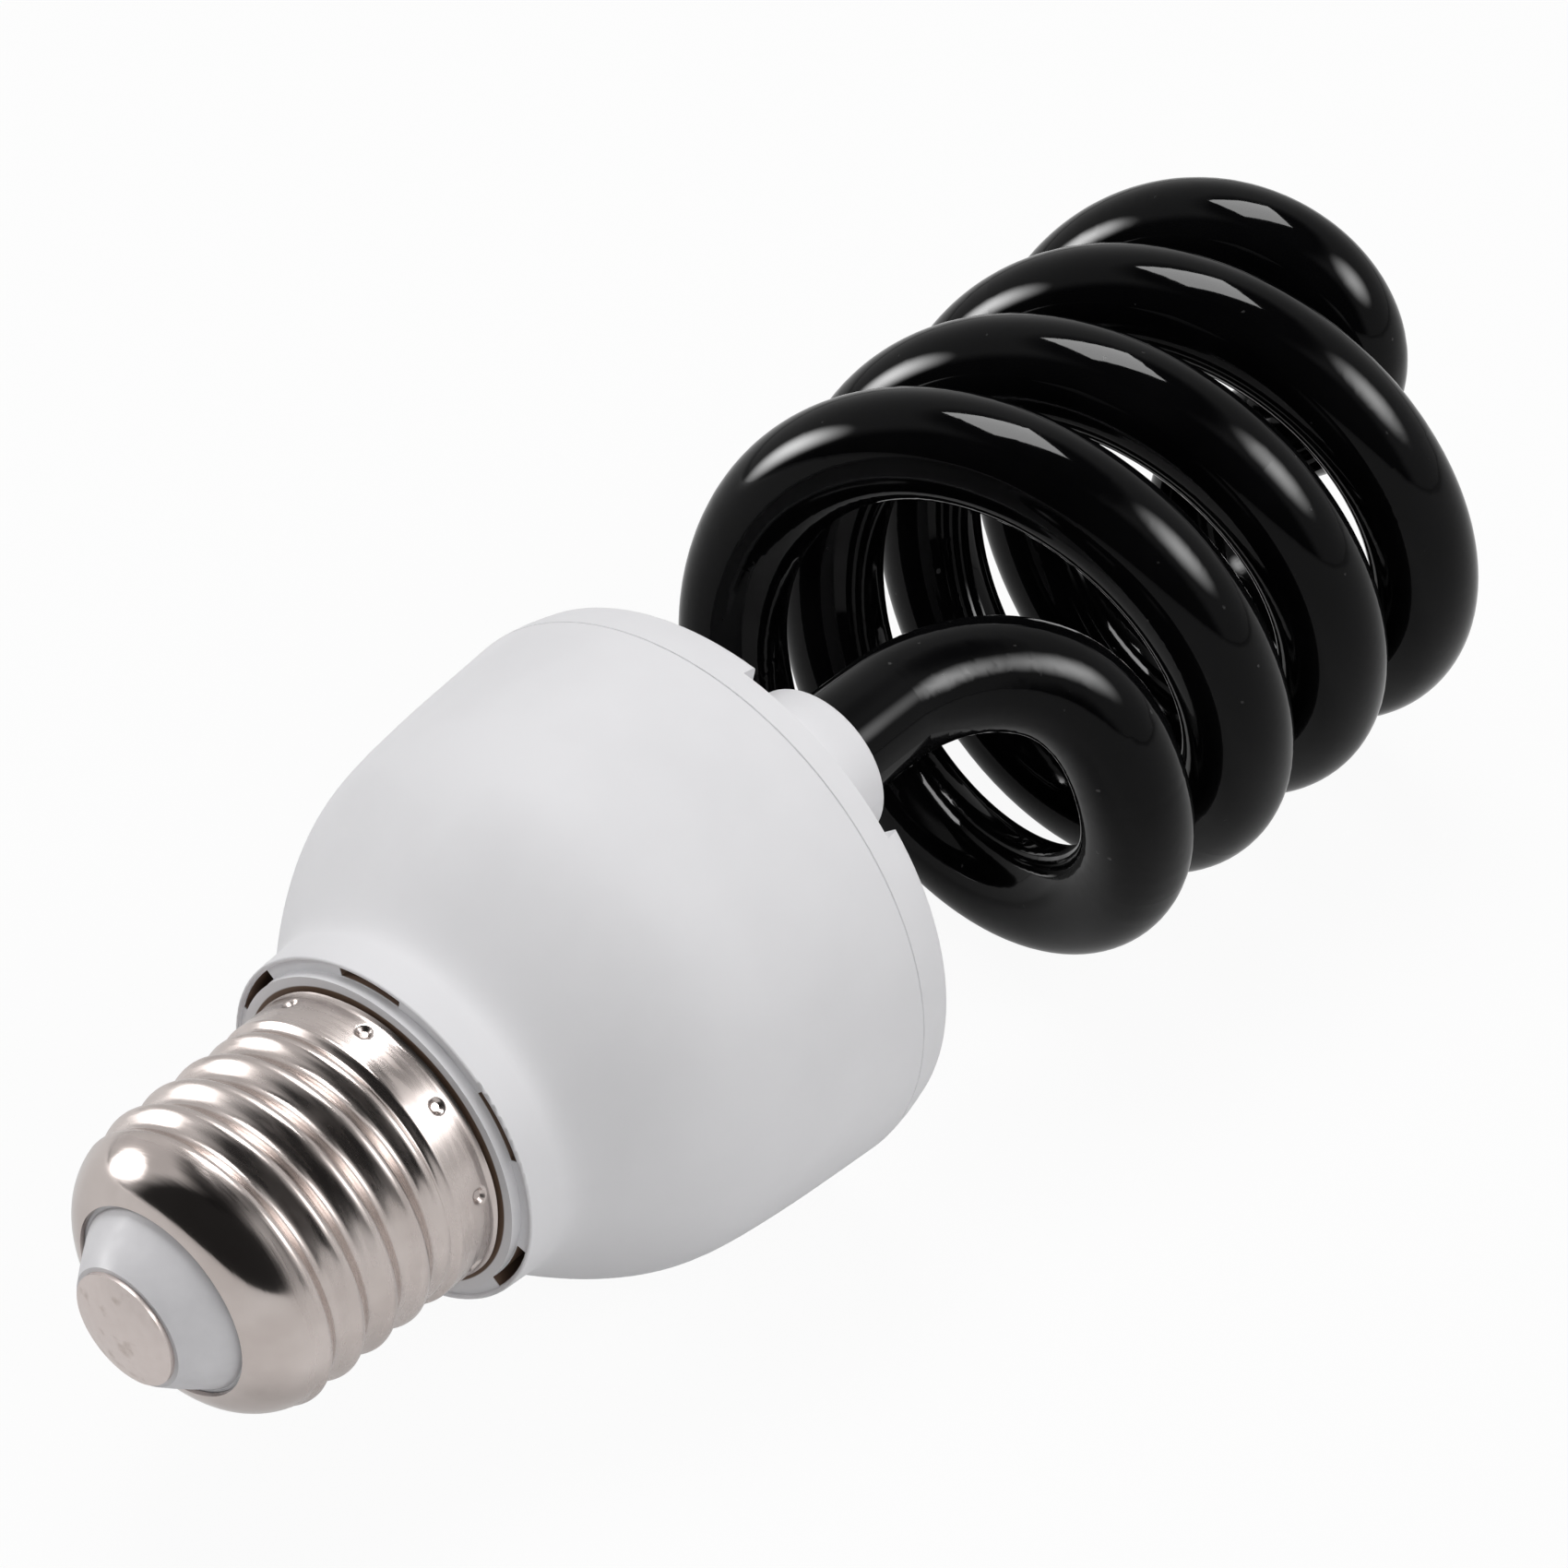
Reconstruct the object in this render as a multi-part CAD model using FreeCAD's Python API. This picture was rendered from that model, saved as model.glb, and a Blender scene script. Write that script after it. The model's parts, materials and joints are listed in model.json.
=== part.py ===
import FreeCAD, Part
import math
import os

from FreeCAD import Vector

# Compact spiral black light lamp with an E27 screw cap, lying on its side.
# Every piece is built along the lamp's own axis: z is the distance from the tip of the
# centre contact towards the coil. lay_down() then puts the lamp on the surface that it
# rests on, with the axis along +Y and the cap towards -Y.
# Clock angles are degrees from the top, clockwise as seen from the cap.

# Screw cap
CONTACT_R = 5.0
CONTACT_DOME = 0.9
CONTACT_EDGE = 0.4
STEM_R = 1.5
STEM_TOP = 10.2
INSULATOR_NOSE_R = 5.4
INSULATOR_BASE_R = 8.2
SHELL_T = 0.35
SHELL_MOUTH_R = 8.6
SHELL_MOUTH_Z = 4.8
BOWL_ARC_R = 6.0
THREAD_CREST_R = 13.1
THREAD_DEPTH = 1.0
THREAD_PITCH = 3.629
THREAD_START = 8.9
SKIRT_H = 4.6
THREAD_CREST_ANGLE = 30.0
SKIRT_R = 13.15
SKIRT_STEP = 0.7
RIM_FLARE = 0.2
RIM_FLARE_H = 0.55
CAP_H = 28.2
DIMPLE_COUNT = 10
DIMPLE_ANGLE = 8.0
DIMPLE_R = 0.7
DIMPLE_OFFSET = 0.25
DIMPLE_DROP = 1.45

# Lower housing
WALL = 1.6
SLEEVE_T = 2.0
CAP_CLEARANCE = 0.1
RIM_GAP = 0.3
RING_R = 14.5
RECESS_DEPTH = 1.0
LIP_R = 15.9
LIP_T = 0.4
LIP_SETBACK = 0.7
NECK_R = 16.1
NECK_H = 4.2
SHOULDER_SHARES = ((0.189, 0.1104), (0.5174, 0.2485), (0.7413, 0.3865), (0.8706, 0.5706))
BELLY_END_SLOPE = 0.08
HOUSING_R = 26.15
HOUSING_H = 36.8
PARTING_CHAMFER = 0.16
SLOT_COUNT = 6
SLOT_ANGLE = 0.0
SLOT_SPAN = 24.0
SLOT_W = 0.9
RIB_COUNT = 4
RIB_ANGLE = 82.0
RIB_T = 1.8
RIB_DEPTH = 3.2
RIB_H = 11.0

# Top cover
COVER_TAPER = 0.6
COVER_H = 4.05
COVER_SIDE_R = 16.0
COVER_EDGE_R = 0.6
COVER_RIM_T = 1.7
PLATE_DROP = 1.8
PLATE_T = 1.6
TONGUE_GAP = 0.55
TONGUE_T = 1.2
TONGUE_DEPTH = 3.0
SOCKET_R = 7.0
SOCKET_RISE = 2.65
SOCKET_EDGE_R = 0.4
NOTCH_SPAN = 39.5
NOTCH_DEPTH = 1.6
TUBE_CLEARANCE = 0.2

# Spiral tube
TUBE_R = 4.85
SOCKET_MARGIN = 0.35
LEG_ANGLE = 33.5
LEG_DEPTH = 3.5
COIL_R = 22.5
COIL_PITCH = 28.6
COIL_STAND = 29.25
BEND_ANGLE = 34.0
BEND_H = 14.0
EASE_ANGLE = 22.0
COIL_ANGLE = 641.5
CROWN_ANGLE = 108.0
CROWN_POWER = 3.4
STEP_ANGLE = 16.0
BEND_STEPS = 4
CROWN_STEPS = 10
TUBE_RUN_COUNT = 16
BEAD_R = 6.6
BEAD_H = 1.2
BEAD_GAP = 0.1

# Ballast
BOARD_MARGIN = 1.95
BOARD_T = 1.6
BOARD_DROP = 8.0
LEAD_R = 0.3
WIRE_R = 0.7
CAN_R = 5.0
CAN_H = 20.0
CAN_PLACE = (-0.33, 0.11)
CORE_SIZE = (16.0, 13.0, 6.0)
CORE_LEG = 3.0
CORE_PLACE = (0.42, 0.09)
COIL_GAP = 0.15
COIL_OVERHANG = 3.2
TOROID_R = 5.0
TOROID_BORE_R = 2.6
TOROID_H = 4.5
TOROID_PLACE = (-0.25, -0.59)
TRANSISTOR_R = 2.4
TRANSISTOR_FLAT = 1.4
TRANSISTOR_H = 4.7
TRANSISTOR_STAND = 3.0
TRANSISTOR_PLACES = ((-0.685, -0.31), (-0.685, 0.355))
LEG_PITCH = 1.27
DIODE_R = 1.35
DIODE_L = 5.2
DIODE_SPAN = 9.0
DIODE_STAND = 0.6
DIODE_PLACES = ((0.245, 0.575), (0.245, 0.73), (-0.285, 0.575), (-0.285, 0.73))
BOX_CAPS = {
    "start_capacitor": (9.0, 4.0, 9.5, 0.487, -0.478),
    "coupling_capacitor": (9.0, 4.5, 9.5, 0.288, -0.717),
}
BOX_CAP_EDGE = 0.9
FUSE_R = 1.7
FUSE_L = 9.0
FUSE_PLACE = (-0.053, -0.292)
PIN_W = 0.9
PIN_H = 4.2
PIN_R = 10.5
PIN_ANGLE = 11.0
ELECTRODE_SPREAD = 1.6
WRAP_GAP = 0.15
SOLDER_GAP = 0.1
SHELL_LEAD_ANGLE = 180.0

# Sizes that follow from those above
THREAD_END = CAP_H - SKIRT_H
NECK_TOP = CAP_H + NECK_H
PARTING_Z = CAP_H + HOUSING_H
COVER_RIM_R = HOUSING_R - COVER_TAPER
TONGUE_R = HOUSING_R - WALL - TONGUE_GAP
LEG_R = COVER_RIM_R - SOCKET_R - SOCKET_MARGIN
LEG_END = PARTING_Z - LEG_DEPTH
COIL_START_Z = PARTING_Z + COIL_STAND
BOARD_R = HOUSING_R - WALL - BOARD_MARGIN
BOARD_Z = PARTING_Z - BOARD_DROP
THREAD_R = THREAD_CREST_R - THREAD_DEPTH / 2
SHELL_BORE_R = SKIRT_R - SHELL_T
SLEEVE_R = SHELL_BORE_R - CAP_CLEARANCE
SLEEVE_BORE_R = SLEEVE_R - SLEEVE_T
RING_Z = CAP_H + RIM_GAP
RECESS_Z = RING_Z + RECESS_DEPTH
DIMPLE_Z = CAP_H - DIMPLE_DROP
COVER_TOP = PARTING_Z + COVER_H
PLATE_TOP = COVER_TOP - PLATE_DROP
SOCKET_TOP = COVER_TOP + SOCKET_RISE
PLATE_BOTTOM = PLATE_TOP - PLATE_T
TONGUE_BOTTOM = PARTING_Z - TONGUE_DEPTH
SOCKET_BORE_R = TUBE_R + TUBE_CLEARANCE
BOARD_TOP = BOARD_Z + BOARD_T
LEG_ANGLES = (LEG_ANGLE, LEG_ANGLE + 180.0)

# Lying on the housing's widest ring and on the first pass of the coil along the bottom
REST_ANGLE = 180.0 - LEG_ANGLE
REST_Z = COIL_START_Z + COIL_PITCH * REST_ANGLE / 360
TILT = math.atan((COIL_R + TUBE_R - HOUSING_R) / (REST_Z - PARTING_Z))
LIFT = HOUSING_R * math.cos(TILT) - PARTING_Z * math.sin(TILT)


def polar(radius, clock, z=0.0):
    """A point at a clock angle round the lamp's axis."""
    angle = math.radians(clock)
    return Vector(radius * math.sin(angle), -radius * math.cos(angle), z)


def meridian(radius, z):
    """A point of a profile that is turned round the lamp's axis."""
    return Vector(radius, 0, z)


def line(start, end):
    return Part.LineSegment(start, end).toShape()


def outline(*corners):
    """The straight edges of an open profile through (radius, z) corners."""
    points = [meridian(*corner) for corner in corners]
    return [line(a, b) for a, b in zip(points, points[1:])]


def arc(start, end, radius):
    """An edge from start to end, bulging away from the lamp's axis or the cap."""
    chord = end - start
    middle = (start + end) * 0.5
    side = Vector(chord.z, 0, -chord.x).normalize()
    half = chord.Length / 2
    bulge = radius - math.sqrt(radius * radius - half * half)
    return Part.Arc(start, middle + side * bulge, end).toShape()


def smooth(points, start_way, end_way):
    """A curve through points, with the given directions at its ends."""
    curve = Part.BSplineCurve()
    curve.interpolate(Points=points, InitialTangent=start_way, FinalTangent=end_way, Scale=False)
    return curve


def turned(edges):
    """The solid of a closed profile turned round the lamp's axis."""
    wire = Part.Wire(Part.__sortEdges__(edges))
    return Part.Face(wire).revolve(Vector(), Vector(0, 0, 1), 360)


def tube(outer, inner, bottom, top):
    """A plain ring on the lamp's axis."""
    ring = Part.makeCylinder(outer, top - bottom, Vector(0, 0, bottom))
    return ring.cut(Part.makeCylinder(inner, top - bottom, Vector(0, 0, bottom)))


def round_copies(shape, count, clock):
    """Copies of a shape, modelled at clock 0, spaced evenly from the given clock angle."""
    copies = []
    for index in range(count):
        copy = shape.copy()
        copy.rotate(Vector(), Vector(0, 0, 1), clock + index * 360 / count)
        copies.append(copy)
    return copies


def lay_down(shape):
    """Puts a piece where it is when the lamp lies at rest."""
    tip_to_middle = (crown_top() + TUBE_R) * math.cos(TILT) / 2
    turn = FreeCAD.Rotation(Vector(1, 0, 0), -90 + math.degrees(TILT))
    placed = shape.copy()
    placed.transformShape(FreeCAD.Placement(Vector(0, -tip_to_middle, LIFT), turn).toMatrix())
    return placed


def wire_path(points, bend):
    """Straight runs joined by tangent arcs of the given radius."""
    edges = []
    start = points[0]
    for before, corner, after in zip(points, points[1:], points[2:]):
        inward = (before - corner).normalize()
        outward = (after - corner).normalize()
        half_turn = (math.pi - inward.getAngle(outward)) / 2
        reach = bend * math.tan(half_turn)
        middle_way = (inward + outward).normalize()
        middle = corner + middle_way * (bend / math.cos(half_turn) - bend)
        edges.append(line(start, corner + inward * reach))
        edges.append(Part.Arc(corner + inward * reach, middle, corner + outward * reach).toShape())
        start = corner + outward * reach
    edges.append(line(start, points[-1]))
    return Part.Wire(edges)


def round_wire(points, radius, bend):
    """A round wire along a path of straight runs and arcs."""
    path = wire_path(points, bend)
    heading = points[1] - points[0]
    section = Part.Wire(Part.Circle(points[0], heading, radius).toShape())
    return path.makePipeShell([section], True, False)


def turned_walls(edges):
    """The faces of an open profile turned round the lamp's axis."""
    return [edge.revolve(Vector(), Vector(0, 0, 1), 360) for edge in edges]


def screw_shell():
    """Rolled sheet cap: bowl, thread, skirt with a flared rim and staking dimples."""
    walls = turned_walls(bowl_profile() + skirt_profile())
    walls += [thread_wall(THREAD_R), thread_wall(THREAD_R - SHELL_T)]
    shell = Part.Solid(Part.Shell([face for wall in walls for face in wall.Faces]))
    centre = polar(SKIRT_R + DIMPLE_OFFSET, 0, DIMPLE_Z)
    bump = Part.makeSphere(DIMPLE_R + SHELL_T, centre)
    bump = bump.common(Part.makeCylinder(SKIRT_R - SHELL_T / 2, CAP_H))
    shell = shell.fuse(round_copies(bump, DIMPLE_COUNT, DIMPLE_ANGLE))
    return shell.cut(round_copies(Part.makeSphere(DIMPLE_R, centre), DIMPLE_COUNT, DIMPLE_ANGLE))


def bowl_edge(inset):
    """The bowl's profile, or one inside it by the given distance."""
    mouth = meridian(SHELL_MOUTH_R, SHELL_MOUTH_Z)
    top = meridian(THREAD_R, THREAD_START)
    chord = top - mouth
    half = chord.Length / 2
    side = Vector(chord.z, 0, -chord.x).normalize()
    centre = (mouth + top) * 0.5 - side * math.sqrt(BOWL_ARC_R ** 2 - half ** 2)
    scale = (BOWL_ARC_R - inset) / BOWL_ARC_R
    start = centre + (mouth - centre) * scale
    end = centre + (top - centre) * scale
    middle = centre + side * (BOWL_ARC_R - inset)
    return start, end, Part.Arc(start, middle, end).toShape()


def bowl_profile():
    """The sheet's two sides from the thread down to the mouth, with the mouth's edge."""
    mouth_out, top_out, outer = bowl_edge(0)
    mouth_in, top_in, inner = bowl_edge(SHELL_T)
    bore = meridian(THREAD_R - SHELL_T, THREAD_START)
    return [outer, line(mouth_out, mouth_in), inner, line(top_in, bore)]


def thread_wall(radius):
    """A round thread: each level section is a circle set off the axis, turning with height."""
    steps_per_turn = 12
    height = THREAD_END - THREAD_START
    count = round(height / THREAD_PITCH * steps_per_turn)
    sections = []
    for index in range(count + 1):
        z = THREAD_START + height * index / count
        run_in = min(z - THREAD_START, THREAD_END - z) / (THREAD_PITCH / 2)
        offset = THREAD_DEPTH / 2 * math.sin(math.pi / 2 * min(1.0, run_in))
        clock = THREAD_CREST_ANGLE + 360 * (z - THREAD_START) / THREAD_PITCH
        circle = Part.Circle(polar(offset, clock, z), Vector(0, 0, 1), radius)
        sections.append(Part.Wire(circle.toShape()))
    return Part.makeLoft(sections, False)


def skirt_profile():
    """The sheet's two sides from the thread up to the flared rim, with the rim's edge."""
    step_z = THREAD_END + SKIRT_STEP
    flare_z = CAP_H - RIM_FLARE_H
    return outline(
        (THREAD_R, THREAD_END),
        (SKIRT_R, step_z),
        (SKIRT_R, flare_z),
        (SKIRT_R + RIM_FLARE, CAP_H),
        (SHELL_BORE_R + RIM_FLARE, CAP_H),
        (SHELL_BORE_R, flare_z),
        (SHELL_BORE_R, step_z),
        (THREAD_R - SHELL_T, THREAD_END),
    )


def cap_insulator():
    """Moulded cone that fills the bowl, with a bore for the contact's stem."""
    seat_z = CONTACT_DOME + CONTACT_EDGE
    mouth, top, side = bowl_edge(SHELL_T + CAP_CLEARANCE)
    nose = meridian(INSULATOR_NOSE_R, seat_z)
    base = meridian(INSULATOR_BASE_R, mouth.z)
    edges = [line(base, mouth), side]
    edges += [arc(nose, base, 4 * INSULATOR_BASE_R)]
    edges += outline((top.x, top.z), (STEM_R, top.z), (STEM_R, seat_z), (INSULATOR_NOSE_R, seat_z))
    return turned(edges)


def centre_contact():
    """Domed disc with the stem that the lead is soldered to."""
    edge_z = CONTACT_DOME + CONTACT_EDGE
    dome_r = (CONTACT_R ** 2 + CONTACT_DOME ** 2) / (2 * CONTACT_DOME)
    edges = [arc(meridian(0, 0), meridian(CONTACT_R, CONTACT_DOME), dome_r)]
    edges += outline(
        (CONTACT_R, CONTACT_DOME),
        (CONTACT_R, edge_z),
        (STEM_R, edge_z),
        (STEM_R, STEM_TOP),
        (0, STEM_TOP),
        (0, 0),
    )
    return turned(edges)


def belly_curve(inset):
    """The belly's profile from the neck to the parting line, or one inside it."""
    points = [meridian(NECK_R, NECK_TOP)]
    bulge = HOUSING_R - NECK_R
    height = PARTING_Z - NECK_TOP
    points += [meridian(NECK_R + bulge * out, NECK_TOP + height * up) for out, up in SHOULDER_SHARES]
    points.append(meridian(HOUSING_R, PARTING_Z))
    belly = smooth(points, Vector(0, 0, 1), Vector(BELLY_END_SLOPE, 0, 1))
    if inset == 0:
        return belly
    inner_points = []
    for point in points:
        along = belly.tangent(belly.parameter(point))[0]
        inner_points.append(point - Vector(along.z, 0, -along.x) * inset)
    inner_points[-1].z = PARTING_Z
    return smooth(inner_points, Vector(0, 0, 1), Vector(BELLY_END_SLOPE, 0, 1))


def housing_shell():
    """Neck sleeve, cap ring, vent recess, lip, collar and belly, all one moulding."""
    outer = belly_curve(0).toShape()
    inner = belly_curve(WALL).toShape()
    groove_r = SLEEVE_R - DIMPLE_R - SHELL_T
    lip_front = RING_Z + LIP_SETBACK
    lip_round = LIP_T / 2
    lip_z = lip_front + lip_round
    sleeve_z = THREAD_END + SKIRT_STEP
    floor_z = RECESS_Z + WALL
    groove_half = DIMPLE_R + SHELL_T
    edges = outline(
        (SLEEVE_BORE_R, floor_z),
        (SLEEVE_BORE_R, sleeve_z),
        (SLEEVE_R, sleeve_z),
        (SLEEVE_R, DIMPLE_Z - groove_half),
        (groove_r, DIMPLE_Z - groove_half),
        (groove_r, DIMPLE_Z + groove_half),
        (SLEEVE_R, DIMPLE_Z + groove_half),
        (SLEEVE_R, RING_Z),
        (RING_R, RING_Z),
        (RING_R, RECESS_Z),
        (LIP_R - LIP_T, RECESS_Z),
        (LIP_R - LIP_T, lip_z),
    )
    lip_top = meridian(LIP_R - lip_round, lip_front)
    edges.append(Part.Arc(meridian(LIP_R - LIP_T, lip_z), lip_top, meridian(LIP_R, lip_z)).toShape())
    edges += outline((LIP_R, lip_z), (NECK_R, NECK_TOP))
    edges.append(outer)
    edges += outline((HOUSING_R, PARTING_Z), (inner.lastVertex().X, PARTING_Z))
    edges.append(inner)
    edges += outline((NECK_R - WALL, NECK_TOP), (NECK_R - WALL, floor_z), (SLEEVE_BORE_R, floor_z))
    return turned(edges)


def belly_core():
    """The space inside the belly, which the board's ribs stand in."""
    inner = belly_curve(WALL).toShape()
    top_r = inner.lastVertex().X
    edges = [inner]
    edges += outline((top_r, PARTING_Z), (0, PARTING_Z), (0, NECK_TOP), (NECK_R - WALL, NECK_TOP))
    return turned(edges)


def vent_slots():
    """Arc-shaped vents through the floor of the recess round the cap."""
    middle_r = (RING_R + LIP_R - LIP_T) / 2
    bottom = RECESS_Z - WALL / 2
    ring = tube(middle_r + SLOT_W / 2, middle_r - SLOT_W / 2, bottom, NECK_TOP + WALL)
    height = NECK_TOP + WALL - bottom
    wedge = Part.makeCylinder(LIP_R, height, Vector(0, 0, bottom), Vector(0, 0, 1), SLOT_SPAN)
    wedge.rotate(Vector(), Vector(0, 0, 1), -90 - SLOT_SPAN / 2)
    return round_copies(ring.common(wedge), SLOT_COUNT, SLOT_ANGLE)


def board_ribs():
    """Ribs on the belly's wall that the ballast board sits on."""
    inner_r = BOARD_R - RIB_DEPTH
    corner = Vector(-RIB_T / 2, -HOUSING_R, BOARD_Z - RIB_H)
    rib = Part.makeBox(RIB_T, HOUSING_R - inner_r, RIB_H, corner)
    core = belly_core()
    return [copy.common(core) for copy in round_copies(rib, RIB_COUNT, RIB_ANGLE)]


def lower_housing():
    housing = housing_shell().cut(vent_slots())
    housing = housing.fuse(board_ribs())
    return housing.cut(parting_chamfer(PARTING_Z, PARTING_Z - PARTING_CHAMFER))


def parting_chamfer(face_z, side_z):
    """The ring cut off an edge at the parting line, so that the joint shows as a fine groove."""
    inner_r = HOUSING_R - PARTING_CHAMFER
    outer_r = HOUSING_R + PARTING_CHAMFER
    return turned(outline((inner_r, face_z), (outer_r, side_z), (outer_r, face_z), (inner_r, face_z)))


def top_cover():
    """Lid with a raised rim, notched at two socket sleeves that the tube's legs stand in."""
    round_z = COVER_TOP - COVER_EDGE_R
    edge = COVER_RIM_R - COVER_EDGE_R
    rim_bore = COVER_RIM_R - COVER_RIM_T
    tongue_bore = TONGUE_R - TONGUE_T
    edges = [arc(meridian(HOUSING_R, PARTING_Z), meridian(COVER_RIM_R, round_z), COVER_SIDE_R)]
    edges.append(arc_corner(COVER_RIM_R, round_z, edge, COVER_TOP))
    edges += outline(
        (edge, COVER_TOP),
        (rim_bore, COVER_TOP),
        (rim_bore, PLATE_TOP),
        (0, PLATE_TOP),
        (0, PLATE_BOTTOM),
        (tongue_bore, PLATE_BOTTOM),
        (tongue_bore, TONGUE_BOTTOM),
        (TONGUE_R, TONGUE_BOTTOM),
        (TONGUE_R, PARTING_Z),
        (HOUSING_R, PARTING_Z),
    )
    cover = turned(edges)
    cover = cover.cut(parting_chamfer(PARTING_Z, PARTING_Z + PARTING_CHAMFER))
    cover = cover.cut(rim_notches())
    sleeves = [soften_top(upright(clock, SOCKET_R, PLATE_BOTTOM, SOCKET_TOP)) for clock in LEG_ANGLES]
    bores = [upright(clock, SOCKET_BORE_R, TONGUE_BOTTOM, SOCKET_TOP) for clock in LEG_ANGLES]
    return cover.fuse(sleeves).cut(bores).removeSplitter()


def arc_corner(start_r, start_z, end_r, end_z):
    """A quarter round from the side of an edge to its top."""
    centre = meridian(end_r, start_z)
    reach = math.sqrt(0.5)
    middle = centre + Vector((start_r - end_r) * reach, 0, (end_z - start_z) * reach)
    return Part.Arc(meridian(start_r, start_z), middle, meridian(end_r, end_z)).toShape()


def upright(clock, radius, bottom, top):
    """A cylinder on the axis of one of the tube's legs."""
    return Part.makeCylinder(radius, top - bottom, polar(LEG_R, clock, bottom))


def soften_top(sleeve):
    top_edges = [edge for edge in sleeve.Edges if edge.BoundBox.ZMin > SOCKET_TOP - SOCKET_EDGE_R]
    return sleeve.makeFillet(SOCKET_EDGE_R, top_edges)


def rim_notches():
    """Gaps in the raised rim where the socket sleeves stand proud of it."""
    floor_z = COVER_TOP - NOTCH_DEPTH
    height = 2 * NOTCH_DEPTH
    wedge = Part.makeCylinder(HOUSING_R, height, Vector(0, 0, floor_z), Vector(0, 0, 1), NOTCH_SPAN)
    wedge.rotate(Vector(), Vector(0, 0, 1), -90 - NOTCH_SPAN / 2)
    return round_copies(wedge, len(LEG_ANGLES), LEG_ANGLE)


def coil_z(turn):
    """Height of the tube's centre line after a given turn from its leg."""
    return COIL_START_Z + COIL_PITCH * turn / 360


def coil_r(turn):
    """Distance of the tube's centre line from the axis, easing out from the leg."""
    return COIL_R - (COIL_R - LEG_R) * math.exp(-turn / EASE_ANGLE)


def crown_point(share):
    """A point of the crown, where the strand closes in and levels out at the axis."""
    turn = COIL_ANGLE + CROWN_ANGLE * share
    radius = COIL_R * (1 - share ** CROWN_POWER)
    climb = COIL_PITCH * CROWN_ANGLE / 360 * (share - share ** 3 / 3)
    return polar(radius, LEG_ANGLE + turn, coil_z(COIL_ANGLE) + climb)


def crown_top():
    return crown_point(1.0).z


def strand_points():
    """The centre line of one strand from the top of its leg to the top of the crown."""
    points = []
    for index in range(BEND_STEPS):
        angle = math.pi / 2 * index / BEND_STEPS
        turn = BEND_ANGLE * (1 - math.cos(angle))
        z = coil_z(turn) - BEND_H * (1 - math.sin(angle))
        points.append(polar(coil_r(turn), LEG_ANGLE + turn, z))
    coil_steps = round((COIL_ANGLE - BEND_ANGLE) / STEP_ANGLE)
    for index in range(coil_steps):
        turn = BEND_ANGLE + (COIL_ANGLE - BEND_ANGLE) * index / coil_steps
        points.append(polar(coil_r(turn), LEG_ANGLE + turn, coil_z(turn)))
    points += [crown_point(index / CROWN_STEPS) for index in range(CROWN_STEPS)]
    return points


def tube_path():
    """Legs and both strands, joined over the crown; the second strand is the first turned half round."""
    strand = strand_points()
    top = Vector(0, 0, crown_top())
    other = [Vector(-point.x, -point.y, point.z) for point in reversed(strand)]
    up = Vector(0, 0, 1)
    curve = smooth(strand + [top] + other, up, -up)
    run = curve.LastParameter / TUBE_RUN_COUNT
    edges = [line(polar(LEG_R, LEG_ANGLES[0], LEG_END), strand[0])]
    edges += [curve.toShape(index * run, (index + 1) * run) for index in range(TUBE_RUN_COUNT)]
    edges.append(line(other[-1], polar(LEG_R, LEG_ANGLES[1], LEG_END)))
    return Part.Wire(edges)


def spiral_tube():
    """One bent tube on two straight legs, opaque and sealed, so it is solid inside."""
    start = polar(LEG_R, LEG_ANGLE, LEG_END)
    section = Part.Wire(Part.Circle(start, Vector(0, 0, 1), TUBE_R).toShape())
    return tube_path().makePipeShell([section], True, True)


def cement_bead(clock):
    """Ring of cement round a tube end, under the plate and inside the tongue."""
    bead = upright(clock, BEAD_R, PLATE_BOTTOM - BEAD_H, PLATE_BOTTOM)
    bead = bead.cut(upright(clock, SOCKET_BORE_R, PLATE_BOTTOM - BEAD_H, PLATE_BOTTOM))
    return bead.common(Part.makeCylinder(TONGUE_R - TONGUE_T - BEAD_GAP, PLATE_BOTTOM))


def ballast_board():
    """Round board that carries the ballast, seated on the housing's ribs."""
    return Part.makeCylinder(BOARD_R, BOARD_T, Vector(0, 0, BOARD_Z))


def hung(shape, place):
    """A part modelled with its foot at z 0, hung under the board at a place in board radii."""
    copy = shape.copy()
    copy.translate(Vector(place[0] * BOARD_R, place[1] * BOARD_R, BOARD_Z))
    return copy


def electrolytic_capacitor():
    can = Part.makeCylinder(CAN_R, CAN_H, Vector(0, 0, -CAN_H))
    groove = Part.makeTorus(CAN_R + LEAD_R, 2 * LEAD_R, Vector(0, 0, -CAN_R / 2))
    return hung(can.cut(groove), CAN_PLACE)


def choke_core():
    """Ferrite core of two E halves, with a window on each side of the centre leg."""
    width, height, depth = CORE_SIZE
    core = Part.makeBox(width, depth, height, Vector(-width / 2, -depth / 2, -height))
    window_w = (width - 4 * CORE_LEG) / 2
    window_h = height - 2 * CORE_LEG
    for side in (-1, 1):
        left = side * (CORE_LEG + window_w / 2) - window_w / 2
        corner = Vector(left, -depth / 2, CORE_LEG - height)
        core = core.cut(Part.makeBox(window_w, depth, window_h, corner))
    return hung(core, CORE_PLACE)


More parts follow.
